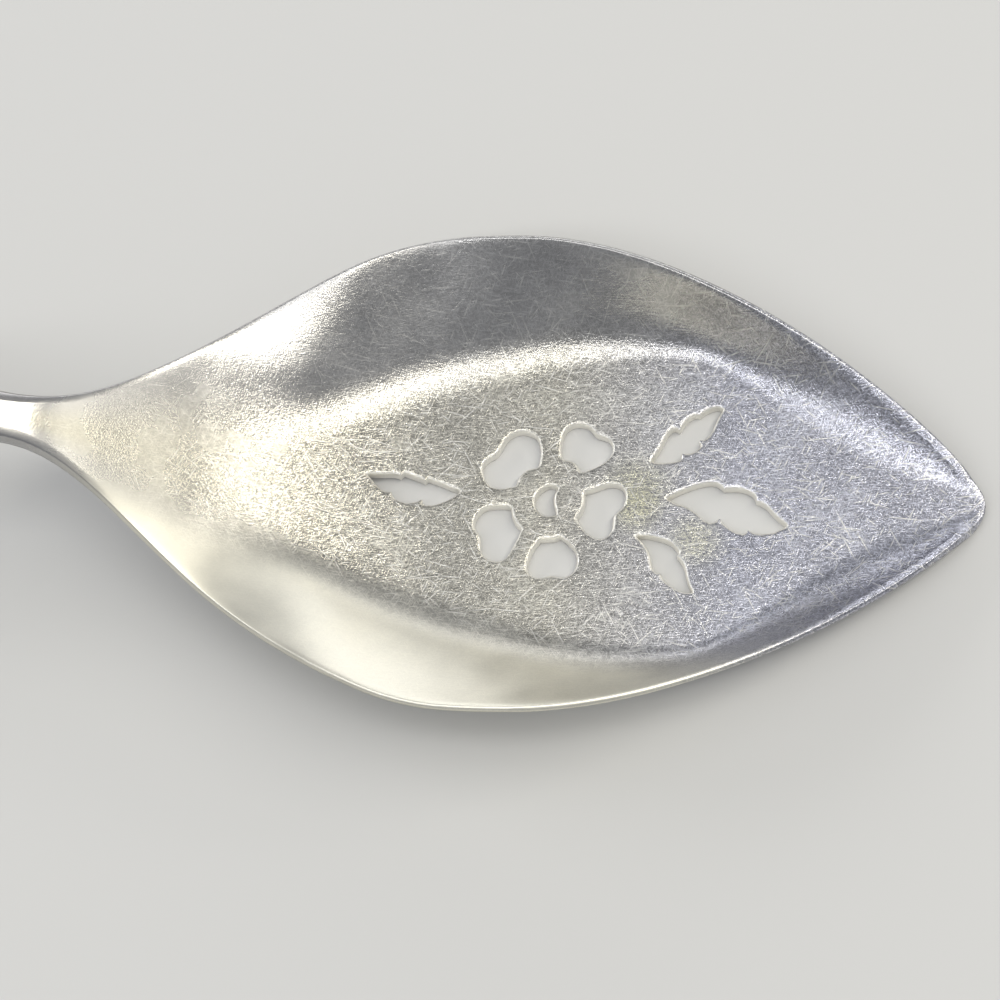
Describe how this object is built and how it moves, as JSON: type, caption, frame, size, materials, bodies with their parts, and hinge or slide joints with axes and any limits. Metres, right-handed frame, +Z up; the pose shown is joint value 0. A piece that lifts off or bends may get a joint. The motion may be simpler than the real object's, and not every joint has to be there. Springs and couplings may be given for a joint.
{
  "type": "pie server",
  "caption": "Pie server: dished leaf-shaped blade with a pierced flower and leaves, cranked shank and a hollow oval handle, for lifting and serving slices of pie.",
  "frame": {"origin": "middle of the whole server's plan, on the table it lies on", "axes": "+X from the handle to the tip of the blade, +Y to the blade's left side seen from the handle, +Z up from the table"},
  "size_m": [0.2458, 0.06, 0.0302],
  "materials": {
    "blade_metal": "worn polish with fine scratches in all directions",
    "handle_metal": "worn polish with fine scratches along the handle",
    "cement": "rough cast filler, hidden inside the handle"
  },
  "bodies": {
    "root": {"blade": "blade_metal", "handle_top_shell": "handle_metal", "handle_bottom_shell": "handle_metal", "tang_cement": "cement"}
  },
  "joints": []
}
